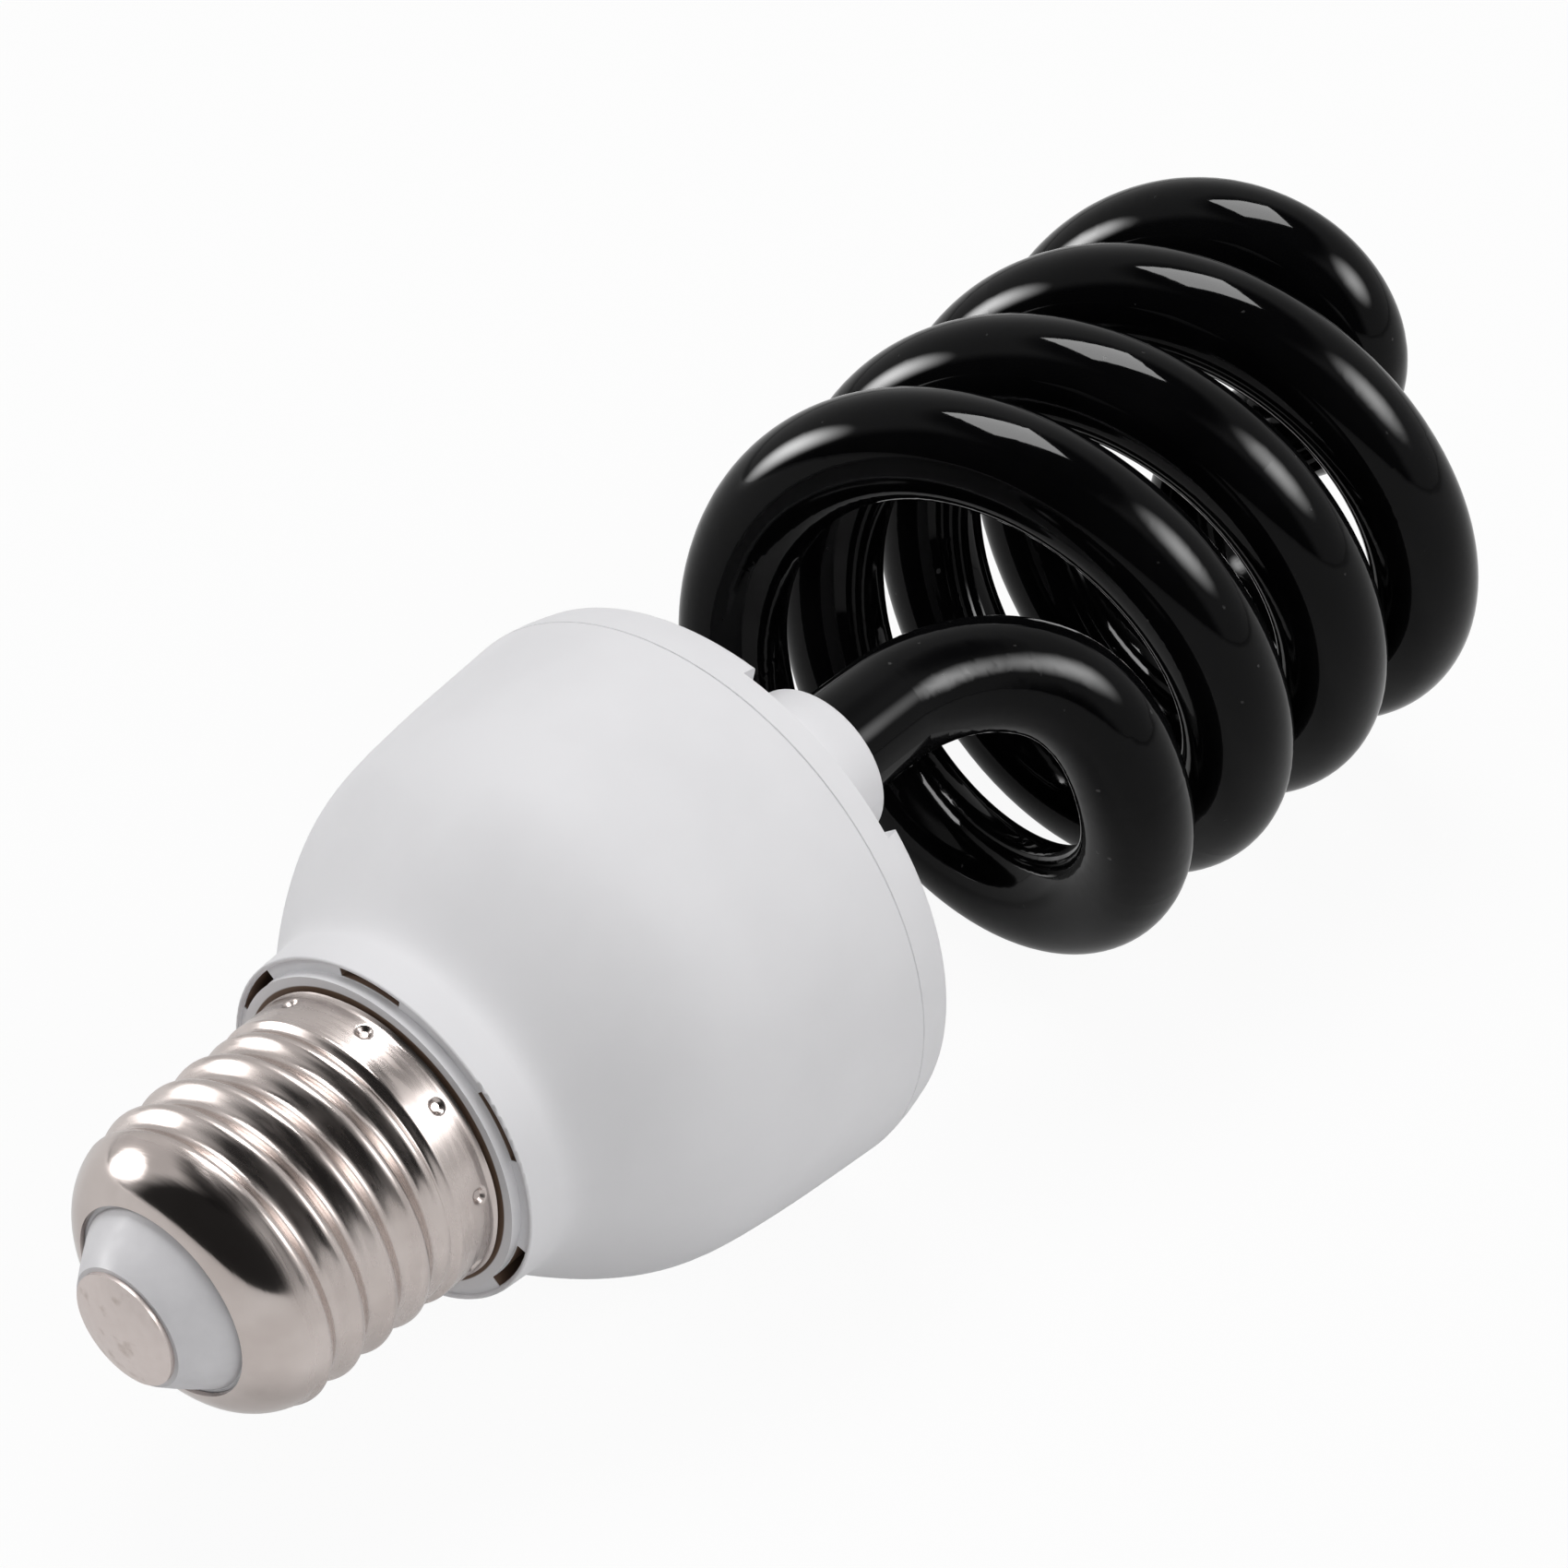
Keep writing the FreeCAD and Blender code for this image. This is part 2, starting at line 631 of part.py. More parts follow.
def choke_coil():
    """Winding round the centre leg of the core, in both windows."""
    width, height, depth = CORE_SIZE
    window_w = (width - 4 * CORE_LEG) / 2
    coil_w = 2 * (CORE_LEG + window_w - COIL_GAP)
    coil_d = depth + 2 * COIL_OVERHANG
    coil_h = height - 2 * CORE_LEG - 2 * COIL_GAP
    bottom = CORE_LEG + COIL_GAP - height
    coil = Part.makeBox(coil_w, coil_d, coil_h, Vector(-coil_w / 2, -coil_d / 2, bottom))
    uprights = [edge for edge in coil.Edges if edge.BoundBox.ZLength > coil_h / 2]
    coil = coil.makeFillet(COIL_OVERHANG / 2, uprights)
    bore_w = 2 * (CORE_LEG + COIL_GAP)
    bore_d = depth + 2 * COIL_GAP
    bore = Part.makeBox(bore_w, bore_d, coil_h, Vector(-bore_w / 2, -bore_d / 2, bottom))
    return hung(coil.cut(bore), CORE_PLACE)


def drive_toroid():
    ring = Part.makeCylinder(TOROID_R, TOROID_H, Vector(0, 0, -TOROID_H))
    ring = ring.cut(Part.makeCylinder(TOROID_BORE_R, TOROID_H, Vector(0, 0, -TOROID_H)))
    return hung(ring.makeFillet(TOROID_H / 5, ring.Edges[:1]), TOROID_PLACE)


def transistor(place):
    """Plastic body with one flat side, on three legs."""
    body_z = -TRANSISTOR_STAND - TRANSISTOR_H
    body = Part.makeCylinder(TRANSISTOR_R, TRANSISTOR_H, Vector(0, 0, body_z))
    flat = Vector(TRANSISTOR_FLAT, -TRANSISTOR_R, body_z)
    body = body.cut(Part.makeBox(TRANSISTOR_R, 2 * TRANSISTOR_R, TRANSISTOR_H, flat))
    legs = []
    for step in (-1, 0, 1):
        foot = Vector(0, step * LEG_PITCH, -TRANSISTOR_STAND)
        legs.append(Part.makeCylinder(LEAD_R, TRANSISTOR_STAND, foot))
    return hung(body.fuse(legs), place)


def rectifier_diode(place):
    """Glass-bodied diode lying under the board on its bent leads."""
    drop = DIODE_R + DIODE_STAND
    body = Part.makeCylinder(DIODE_R, DIODE_L, Vector(-DIODE_L / 2, 0, -drop), Vector(1, 0, 0))
    half = DIODE_SPAN / 2
    route = [Vector(-half, 0, 0), Vector(-half, 0, -drop), Vector(half, 0, -drop), Vector(half, 0, 0)]
    return hung(body.fuse(round_wire(route, LEAD_R, 2 * LEAD_R)), place)


def box_capacitor(width, depth, height, x, y):
    """Film capacitor with rounded edges, standing on the board."""
    body = Part.makeBox(width, depth, height, Vector(-width / 2, -depth / 2, -height))
    uprights = [edge for edge in body.Edges if edge.BoundBox.ZLength > height / 2]
    return hung(body.makeFillet(BOX_CAP_EDGE, uprights), (x, y))


def fuse_resistor():
    """Fusible resistor standing on one lead, in line with the centre contact's lead."""
    stand = 2 * WIRE_R
    body = Part.makeCylinder(FUSE_R, FUSE_L, Vector(0, 0, -stand - FUSE_L))
    body = body.makeFillet(FUSE_R / 2, body.Edges[0:3:2])
    return hung(body.fuse(Part.makeCylinder(LEAD_R, stand, Vector(0, 0, -stand))), FUSE_PLACE)


def contact_lead():
    """Insulated wire from the fuse resistor down to the centre contact's stem."""
    foot_z = BOARD_Z - 2 * WIRE_R - FUSE_L
    top = Vector(FUSE_PLACE[0] * BOARD_R, FUSE_PLACE[1] * BOARD_R, foot_z)
    knee = Vector(top.x, top.y, (top.z + NECK_TOP) / 2)
    elbow = Vector(0, 0, THREAD_END)
    return round_wire([top, knee, elbow, Vector(0, 0, STEM_TOP)], WIRE_R, 6 * WIRE_R)


def shell_lead():
    """Insulated wire from the board to the inside of the screw shell, under the sleeve."""
    wall_r = SLEEVE_BORE_R - 2 * WIRE_R
    end_z = THREAD_END - THREAD_PITCH
    top = polar(wall_r, SHELL_LEAD_ANGLE, BOARD_Z)
    turn = polar(wall_r, SHELL_LEAD_ANGLE, end_z)
    end = polar(THREAD_R - THREAD_DEPTH / 2 - SHELL_T - SOLDER_GAP, SHELL_LEAD_ANGLE, end_z)
    return round_wire([top, turn, end], WIRE_R, WIRE_R * 1.1)


def pin_clocks(clock):
    return (clock - PIN_ANGLE, clock + PIN_ANGLE)


def wrap_pin(clock):
    """Square pin on the board that an electrode lead is wrapped on."""
    pin = Part.makeBox(PIN_W, PIN_W, PIN_H, Vector(-PIN_W / 2, -PIN_R - PIN_W / 2, BOARD_TOP))
    return round_copies(pin, 1, clock)[0]


def tube_lead(leg_clock, clock):
    """Electrode lead from a tube end to its wrap pin."""
    side = 1 if clock > leg_clock else -1
    along = polar(LEG_R - TUBE_R / 2, leg_clock)
    across = polar(ELECTRODE_SPREAD * side, leg_clock + 90)
    start = along + across + Vector(0, 0, LEG_END)
    low_z = (LEG_END + BOARD_TOP) / 2
    pin_side = polar(PIN_R + PIN_W / 2 + WRAP_GAP, clock, low_z)
    corner = Vector(start.x, start.y, low_z)
    return round_wire([start, corner, pin_side], LEAD_R, 2 * LEAD_R)


def pieces():
    """Every piece of the lamp by name, along the lamp's own axis."""
    made = {
        "screw_shell": screw_shell(),
        "cap_insulator": cap_insulator(),
        "centre_contact": centre_contact(),
        "lower_housing": lower_housing(),
        "top_cover": top_cover(),
        "spiral_tube": spiral_tube(),
        "ballast_board": ballast_board(),
        "electrolytic_capacitor": electrolytic_capacitor(),
        "choke_core": choke_core(),
        "choke_coil": choke_coil(),
        "drive_toroid": drive_toroid(),
        "fuse_resistor": fuse_resistor(),
        "contact_lead": contact_lead(),
        "shell_lead": shell_lead(),
    }
    for name, sizes in BOX_CAPS.items():
        made[name] = box_capacitor(*sizes)
    for number, place in enumerate(TRANSISTOR_PLACES, 1):
        made[f"transistor_{number}"] = transistor(place)
    for number, place in enumerate(DIODE_PLACES, 1):
        made[f"rectifier_diode_{number}"] = rectifier_diode(place)
    for number, leg_clock in enumerate(LEG_ANGLES, 1):
        made[f"cement_bead_{number}"] = cement_bead(leg_clock)
        for letter, clock in zip("ab", pin_clocks(leg_clock)):
            made[f"wrap_pin_{number}{letter}"] = wrap_pin(clock)
            made[f"tube_lead_{number}{letter}"] = tube_lead(leg_clock, clock)
    return made


os.makedirs("parts", exist_ok=True)
for name, shape in pieces().items():
    lay_down(shape).exportStep(f"parts/{name}.step")
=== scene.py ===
"""The lamp's looks: a finish for each CAD piece, a smooth skin for the screw cap, a pale floor,
soft studio light and a camera at the photograph's viewing angle."""

import json
import math
from typing import NamedTuple

import bpy
import numpy as np
from mathutils import Matrix, Vector


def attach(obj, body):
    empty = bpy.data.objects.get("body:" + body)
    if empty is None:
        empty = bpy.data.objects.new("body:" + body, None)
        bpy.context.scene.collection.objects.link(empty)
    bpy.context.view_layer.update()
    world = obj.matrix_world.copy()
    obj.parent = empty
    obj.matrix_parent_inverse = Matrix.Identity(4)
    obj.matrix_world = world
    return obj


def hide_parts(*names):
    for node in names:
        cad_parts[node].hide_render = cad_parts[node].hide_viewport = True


MM = 0.001

# Camera, in metres. It looks down on the cap's side of the lamp.
CAMERA_PLACE = Vector((0.2172, -0.2595, 0.2883))
CAMERA_FORWARD = Vector((-0.5094, 0.6112, -0.6058))
CAMERA_UP = Vector((-0.3836, 0.4689, 0.7956))
CAMERA_LENS = 116.47
SENSOR_WIDTH = 36.0


class StudioLight(NamedTuple):
    """An area light: the way to it from the lamp, its distance and sizes in metres, its radiance.

    A soft light fades out towards its edges. A fill is not mirrored in the glass or the metal. A
    shine is mirrored only, and in the glass alone.
    """

    way: tuple
    distance: float
    size: tuple
    radiance: float
    soft: bool = False
    fill: bool = False
    shine: bool = False


LIGHT_TARGET = Vector((0.0, 0.01, 0.03))
OVERHEAD = (-0.21, 0.17, 0.96)
LEFT = (-0.86, -0.44, 0.22)
RIGHT = (0.74, 0.33, 0.58)
FRONT = (0.75, -0.30, 0.59)
LIGHTS = {
    "overhead_box": StudioLight(OVERHEAD, 0.80, (0.44, 0.38), 6.8),
    "overhead_shine": StudioLight(OVERHEAD, 0.84, (0.46, 0.40), 14.0, shine=True),
    "left_strip": StudioLight(LEFT, 0.90, (0.60, 0.60), 10.0, soft=True),
    "left_shine": StudioLight(LEFT, 0.95, (0.64, 0.64), 32.0, soft=True, shine=True),
    "right_box": StudioLight(RIGHT, 0.90, (0.80, 0.66), 5.2, soft=True),
    "right_shine": StudioLight(RIGHT, 0.95, (0.84, 0.70), 20.0, soft=True, shine=True),
    "front_fill": StudioLight(FRONT, 1.20, (1.00, 1.00), 1.4, fill=True),
}

# Middle and reach of a light, in its own coordinates, which run from 0 to 1 across it
LIGHT_MIDDLE = (0.5, 0.5, 0.0)
LIGHT_REACH = 0.5

# Backdrop: pale round the back and the low sides, dark behind the camera and overhead
ROOM_LEVEL = 0.10
BACKDROP_LEVEL = 0.62
DARK_LEVEL = 0.02
DARK_WAY = (0.284, -0.959, 0.0)
DARK_EDGE = (0.30, 0.55)
TOP_SHARE = 0.05
TOP_EDGE = (0.75, 0.90)
FLOOR_SIZE = 8.0
FLOOR_WHITE = 0.72
FLOOR_GLOW = 0.94
MIRROR_SHARE = 0.30

# Colours, most of them as two near shades
NICKEL = ((0.60, 0.53, 0.50), (0.69, 0.62, 0.59))
CONTACT = (0.74, 0.66, 0.63)
CONTACT_STAIN = (0.56, 0.48, 0.44)
WHITE = ((0.785, 0.78, 0.797), (0.815, 0.81, 0.827))
# Painted shade: dark brown on the white walls of the collar's vents, for their shaded inside
VENT_PAINTED_SHADE = (0.25, 0.17, 0.125)
# Painted shade: a darker brown line in the gap between the cap's rim and the collar
RIM_GAP_PAINTED_SHADE = (0.15, 0.095, 0.065)
BLACK = ((0.0014, 0.0014, 0.0016), (0.0026, 0.0026, 0.0029))
DUST = (0.05, 0.05, 0.05)

# Nickel's roughness on the bowl, and what rubbing adds to it on the thread and the skirt. The marks
# of rolling are stretched round the lamp.
BOWL_ROUGHNESS = 0.10
RUBBED_ROUGHNESS = (0.08, 0.24)
RUBBED_EDGE = 2.0
STREAK_STRETCH = (0.12, 1.0, 0.12)
SCRATCH_STRETCH = (0.10, 1.0, 0.10)

# Plain finishes: two near shades, the size of their clouds in metres, and the range of roughness
PLAIN_FINISHES = {
    "insulator": ((0.70, 0.69, 0.71), (0.75, 0.74, 0.76), 0.003, (0.35, 0.50)),
    "cement": ((0.76, 0.74, 0.68), (0.82, 0.80, 0.75), 0.002, (0.70, 0.90)),
    "board": ((0.44, 0.30, 0.15), (0.55, 0.40, 0.22), 0.004, (0.40, 0.60)),
    "can_sleeve": ((0.03, 0.04, 0.07), (0.05, 0.06, 0.10), 0.004, (0.30, 0.45)),
    "ferrite": ((0.06, 0.06, 0.065), (0.10, 0.10, 0.11), 0.002, (0.60, 0.80)),
    "copper_winding": ((0.55, 0.24, 0.10), (0.68, 0.34, 0.16), 0.001, (0.25, 0.40)),
    "black_plastic": ((0.02, 0.02, 0.02), (0.035, 0.035, 0.035), 0.002, (0.50, 0.65)),
    "film_capacitor": ((0.38, 0.07, 0.03), (0.50, 0.11, 0.05), 0.003, (0.20, 0.35)),
    "resistor": ((0.30, 0.44, 0.37), (0.38, 0.53, 0.45), 0.002, (0.50, 0.65)),
    "wire_insulation": ((0.72, 0.72, 0.70), (0.80, 0.80, 0.78), 0.003, (0.40, 0.55)),
    "tinned_wire": ((0.62, 0.62, 0.62), (0.72, 0.72, 0.72), 0.001, (0.25, 0.40)),
}
PLAIN_METALS = ("copper_winding", "tinned_wire")

# Screw cap, in mm from the contact's tip, as in the CAD
CAP_MOUNT_Z = 25.975
SHELL_T = 0.35
MOUTH_R = 8.6
MOUTH_Z = 4.8
BOWL_ARC_R = 6.0
THREAD_CREST_R = 13.1
THREAD_DEPTH = 1.0
THREAD_R = THREAD_CREST_R - THREAD_DEPTH / 2
THREAD_PITCH = 3.629
THREAD_START = 8.9
THREAD_END = 23.6
THREAD_CREST_ANGLE = 30.0
SKIRT_R = 13.15
SKIRT_START = 24.3
FLARE_START = 27.65
CAP_H = 28.2
RIM_FLARE = 0.2
DIMPLE_COUNT = 10
DIMPLE_ANGLE = 8.0
DIMPLE_R = 0.7
DIMPLE_OFFSET = 0.25
DIMPLE_Z = 26.75

# Unevenness of the cap's rim: its depth in mm, its slow waves round the rim and their start
RIM_WAVE = 0.07
RIM_WAVE_COUNT = 3
RIM_WAVE_START = 1.0

# Rings of points along the bowl, thread, step, skirt and flare of the cap's skin, on its shown
# and its hidden side, and points in each ring
OUTER_ROWS = (18, 84, 6, 30, 6)
INNER_ROWS = (9, 42, 3, 3, 3)
CAP_COLUMNS = 480

# Collar round the cap, in the same mm: painted shade on its vents' walls, and as a dark line in the
# gap at the cap's rim
VENT_OUTER_R = 15.47
VENT_START_Z = 29.6
VENT_END_Z = 55.0
RIM_LINE_R = 13.6
RIM_LINE_BLUR = 0.15
RIM_LINE_START_Z = 28.4
RIM_LINE_END_Z = 28.6


# Lamp frame

class LampAxis:
    """Places along and round the lamp's own axis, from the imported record's screw cap."""

    def __init__(self, record):
        mount = record["mounts"][0]
        self.along = -Vector(mount["axis"]).normalized()
        self.side = Vector((1.0, 0.0, 0.0))
        self.up = self.side.cross(self.along)
        self.tip = Vector(mount["pos_m"]) - self.along * CAP_MOUNT_Z * MM

    def turn(self):
        """The axis's own directions as an Euler turn, with Z along the lamp."""
        ways = Matrix((self.side, self.along.cross(self.side), self.along))
        return ways.transposed().to_euler()

    def places(self, right, up, z):
        """World points, in metres, for arrays of mm to the right, up and along the axis."""
        shape = np.broadcast(right, up, z).shape
        out = np.zeros(shape + (3,))
        for amount, way in ((right, self.side), (up, self.up), (z, self.along)):
            out += np.broadcast_to(amount, shape)[..., None] * np.array(way) * MM
        return out + np.array(self.tip)


# Node helpers

def math_node(tree, operation, first, second):
    """One Math node, whose second input is a link or a number."""
    node = tree.nodes.new("ShaderNodeMath")
    node.operation = operation
    tree.links.new(first, node.inputs[0])
    if isinstance(second, float):
        node.inputs[1].default_value = second
    else:
        tree.links.new(second, node.inputs[1])
    return node.outputs["Value"]


def map_range(tree, value, source, target, smooth=False):
    """A value taken from one range to another, and kept inside it."""
    node = tree.nodes.new("ShaderNodeMapRange")
    node.interpolation_type = "SMOOTHSTEP" if smooth else "LINEAR"
    names = ("From Min", "From Max", "To Min", "To Max")
    for name, number in zip(names, (*source, *target)):
        node.inputs[name].default_value = number
    tree.links.new(value, node.inputs["Value"])
    return node.outputs["Result"]


class Shader:
    """A material of Principled BSDF and procedural textures in the part's own coordinates."""

    def __init__(self, name):
        self.material = bpy.data.materials.new(name)
        self.material.use_nodes = True
        self.tree = self.material.node_tree
        self.surface = self.tree.nodes["Principled BSDF"]
        self.place = self.tree.nodes.new("ShaderNodeTexCoord").outputs["Object"]

    def link(self, output, target):
        self.tree.links.new(output, target)

    def noise(self, size, detail=3.0, stretch=None):
        """Noise whose features have a given size in metres."""
        texture = self.tree.nodes.new("ShaderNodeTexNoise")
        texture.inputs["Scale"].default_value = 1.0 / size
        texture.inputs["Detail"].default_value = detail
        place = self.place
        if stretch:
            mapping = self.tree.nodes.new("ShaderNodeMapping")
            mapping.inputs["Scale"].default_value = stretch
            self.link(place, mapping.inputs["Vector"])
            place = mapping.outputs["Vector"]
        self.link(place, texture.inputs["Vector"])
        return texture.outputs["Fac"]

    def ranged(self, value, low, high, start=0.35, end=0.65):
        """Noise spread from its usual range, or from a given one, to another."""
        return map_range(self.tree, value, (start, end), (low, high))

    def mixed(self, factor, first, second):
        """A colour between two colours, each a triple or another node's output."""
        node = self.tree.nodes.new("ShaderNodeMix")
        node.data_type = "RGBA"
        self.link(factor, node.inputs["Factor"])
        for socket, colour in (("A", first), ("B", second)):
            target = [i for i in node.inputs if i.name == socket and i.type == "RGBA"][0]
            if isinstance(colour, tuple):
                target.default_value = (*colour, 1.0)
            else:
                self.link(colour, target)
        return [o for o in node.outputs if o.type == "RGBA"][0]

    def clouded(self, size, first, second):
        """A colour that drifts between two near shades, in clouds of a given size in metres."""
        return self.mixed(self.ranged(self.noise(size), 0.0, 1.0), first, second)

    def radius_and_height(self, axis):
        """Distance from the lamp's axis and place along it, in metres."""
        mapping = self.tree.nodes.new("ShaderNodeMapping")
        mapping.vector_type = "TEXTURE"
        mapping.inputs["Location"].default_value = axis.tip
        mapping.inputs["Rotation"].default_value = axis.turn()
        flat = self.tree.nodes.new("ShaderNodeVectorMath")
        flat.operation = "MULTIPLY"
        flat.inputs[1].default_value = (1.0, 1.0, 0.0)
        length = self.tree.nodes.new("ShaderNodeVectorMath")
        length.operation = "LENGTH"
        split = self.tree.nodes.new("ShaderNodeSeparateXYZ")
        self.link(self.place, mapping.inputs["Vector"])
        self.link(mapping.outputs["Vector"], flat.inputs[0])
        self.link(flat.outputs["Vector"], length.inputs[0])
        self.link(mapping.outputs["Vector"], split.inputs["Vector"])
        return length.outputs["Value"], split.outputs["Z"]

    def between(self, value, low, high, edge=0.05):
        """1 where a length lies between two places in mm, and 0 outside, with a soft edge."""
        rise = ((low - edge) * MM, low * MM)
        fall = (high * MM, (high + edge) * MM)
        above = map_range(self.tree, value, rise, (0.0, 1.0), smooth=True)
        below = map_range(self.tree, value, fall, (1.0, 0.0), smooth=True)
        return math_node(self.tree, "MULTIPLY", above, below)

    def colour(self, output):
        self.link(output, self.surface.inputs["Base Color"])

    def roughness(self, output):
        self.link(output, self.surface.inputs["Roughness"])

    def bump(self, height, distance):
        node = self.tree.nodes.new("ShaderNodeBump")
        node.inputs["Distance"].default_value = distance
        self.link(height, node.inputs["Height"])
        self.link(node.outputs["Normal"], self.surface.inputs["Normal"])

    def specular(self, level):
        self.surface.inputs["Specular IOR Level"].default_value = level

    def metal(self):
        self.surface.inputs["Metallic"].default_value = 1.0


# Materials

def nickel(axis):
    """Bright plate, a near mirror on the bowl and rubbed on the thread and the skirt."""
    shader = Shader("nickel")
    shader.metal()
    shader.colour(shader.clouded(0.006, *NICKEL))
    height = shader.radius_and_height(axis)[1]
    rolled = shader.between(height, THREAD_START, CAP_H, edge=RUBBED_EDGE)
    streaks = shader.ranged(shader.noise(0.0006, stretch=STREAK_STRETCH), *RUBBED_ROUGHNESS)
    rubbed = math_node(shader.tree, "MULTIPLY", rolled, streaks)
    shader.roughness(math_node(shader.tree, "ADD", rubbed, BOWL_ROUGHNESS))
    shader.bump(shader.noise(0.0005, detail=2.0, stretch=SCRATCH_STRETCH), distance=0.000012)
    return shader.material


def contact_metal():
    """Satin plate with a few darker stains."""
    shader = Shader("contact_metal")
    shader.metal()
    stain = shader.ranged(shader.noise(0.0018, detail=5.0), 0.0, 1.0, start=0.56, end=0.72)
    shader.colour(shader.mixed(stain, CONTACT, CONTACT_STAIN))
    shader.roughness(shader.ranged(shader.noise(0.0008), 0.34, 0.46))
    shader.bump(shader.noise(0.0006), distance=0.00001)
    return shader.material


def white_plastic(axis):
    """Satin white, with painted shade in brown on the collar's vents' walls and as a line in the
    gap along the cap's rim.
    """
    shader = Shader("white_plastic")
    white = shader.clouded(0.012, *WHITE)
    radius, height = shader.radius_and_height(axis)
    # Mask for the painted shade on the vents' walls
    painted_vent_shade = math_node(shader.tree, "MULTIPLY", shader.between(radius, 0.0, VENT_OUTER_R),
                         shader.between(height, VENT_START_Z, VENT_END_Z))
    # Mask for the painted shade of the gap along the cap's rim
    painted_rim_shade = math_node(shader.tree, "MULTIPLY",
                       shader.between(radius, 0.0, RIM_LINE_R, edge=RIM_LINE_BLUR),
                       shader.between(height, RIM_LINE_START_Z, RIM_LINE_END_Z))
    shader.colour(shader.mixed(painted_rim_shade, shader.mixed(painted_vent_shade, white, VENT_PAINTED_SHADE), RIM_GAP_PAINTED_SHADE))
    shader.roughness(shader.ranged(shader.noise(0.004), 0.46, 0.56))
    shader.bump(shader.noise(0.0006, detail=2.0), distance=0.000003)
    shader.specular(0.12)
    return shader.material


def black_glass():
    """Opaque black gloss with a few specks of dust."""
    shader = Shader("black_glass")
    dust = shader.ranged(shader.noise(0.0009, detail=0.0), 0.0, 1.0, start=0.85, end=0.90)
    shader.colour(shader.mixed(dust, shader.clouded(0.010, *BLACK), DUST))
    shader.roughness(shader.ranged(shader.noise(0.005), 0.04, 0.07))
    shader.bump(shader.noise(0.009, detail=1.0), distance=0.00006)
    shader.specular(0.12)
    return shader.material


def plain(name):
    """A plain finish: two near shades in a cloud, and a roughness that varies."""
    first, second, size, roughness = PLAIN_FINISHES[name]
    shader = Shader(name)
    if name in PLAIN_METALS:
        shader.metal()
    shader.colour(shader.clouded(size, first, second))
    shader.roughness(shader.ranged(shader.noise(size / 3), *roughness))
    return shader.material


def make_materials(axis):
    materials = {name: plain(name) for name in PLAIN_FINISHES}
    materials["nickel"] = nickel(axis)
    materials["contact_metal"] = contact_metal()
    materials["white_plastic"] = white_plastic(axis)
    materials["black_glass"] = black_glass()
    return materials


def dress(nodes, record, axis):
    """Gives each CAD piece its slot's material, and returns the materials by slot."""
    materials = make_materials(axis)
    for part in record["subparts"]:
        mesh = nodes[part["node"]].data
        mesh.materials.clear()
        mesh.materials.append(materials[part["material_slot"]])
    return materials


# Screw cap's skin

def smooth_step(share):
    return share * share * (3 - 2 * share)


def bowl_rows(inset, count):
    """Radius and height of the bowl's level rings, from the mouth to the thread."""
    mouth = np.array((MOUTH_R, MOUTH_Z))
    top = np.array((THREAD_R, THREAD_START))
    chord = top - mouth
    half = np.linalg.norm(chord) / 2
    outward = np.array((chord[1], -chord[0])) / (2 * half)
    centre = (mouth + top) / 2 - outward * math.sqrt(BOWL_ARC_R ** 2 - half ** 2)
    start = math.atan2(*(mouth - centre)[::-1])
    end = math.atan2(*(top - centre)[::-1])
    angles = np.linspace(start, end, count, endpoint=False)
    radius = BOWL_ARC_R - inset
    return centre[0] + radius * np.cos(angles), centre[1] + radius * np.sin(angles)


def cap_rings(inset, rows):
    """Radius, height and offset from the axis of each level ring of one side of the sheet."""
    bowl_count, thread_count, step_count, skirt_count, flare_count = rows
    bowl_r, bowl_z = bowl_rows(inset, bowl_count)
    thread_z = np.linspace(THREAD_START, THREAD_END, thread_count, endpoint=False)
    step = np.linspace(0.0, 1.0, step_count, endpoint=False)
    skirt_z = np.linspace(SKIRT_START, FLARE_START, skirt_count, endpoint=False)
    flare = np.linspace(0.0, 1.0, flare_count)
    radius = np.concatenate((
        bowl_r,
        np.full(thread_count, THREAD_R - inset),
        THREAD_R - inset + (SKIRT_R - THREAD_R) * smooth_step(step),
        np.full(skirt_count, SKIRT_R - inset),
        SKIRT_R - inset + RIM_FLARE * flare ** 2,
    ))
    z = np.concatenate((
        bowl_z,
        thread_z,
        THREAD_END + (SKIRT_START - THREAD_END) * step,
        skirt_z,
        FLARE_START + (CAP_H - FLARE_START) * flare,
    ))
    from_end = np.minimum(z - THREAD_START, THREAD_END - z)
    run_in = np.clip(from_end / (THREAD_PITCH / 2), 0.0, 1.0)
    return radius, z, THREAD_DEPTH / 2 * np.sin(math.pi / 2 * run_in)


def uneven_rim(z, clock):
    """How far the skirt is out of round: not at all at the dimples, and most at the rim."""
    turn = np.radians(clock)
    share = np.clip((z - DIMPLE_Z) / (CAP_H - DIMPLE_Z), 0.0, 1.0) ** 2
    slow = np.sin(RIM_WAVE_COUNT * turn + RIM_WAVE_START)
    staked = np.sin(DIMPLE_COUNT * turn)
    return RIM_WAVE * share * (slow + staked - 1.0) / 2


def pressed(radius, z, clock):
    """The skirt's radius with the staking dimples pressed in and the rim slightly uneven."""
    radius = radius + uneven_rim(z, clock)
    spacing = 360.0 / DIMPLE_COUNT
    away = np.radians((clock - DIMPLE_ANGLE + spacing / 2) % spacing - spacing / 2)
    centre = SKIRT_R + DIMPLE_OFFSET
    depth = DIMPLE_R ** 2 - (centre * np.sin(away)) ** 2 - (z - DIMPLE_Z) ** 2
    dent = centre * np.cos(away) - np.sqrt(np.clip(depth, 0.0, None))
    return np.where(depth > 0, np.minimum(radius, dent), radius)


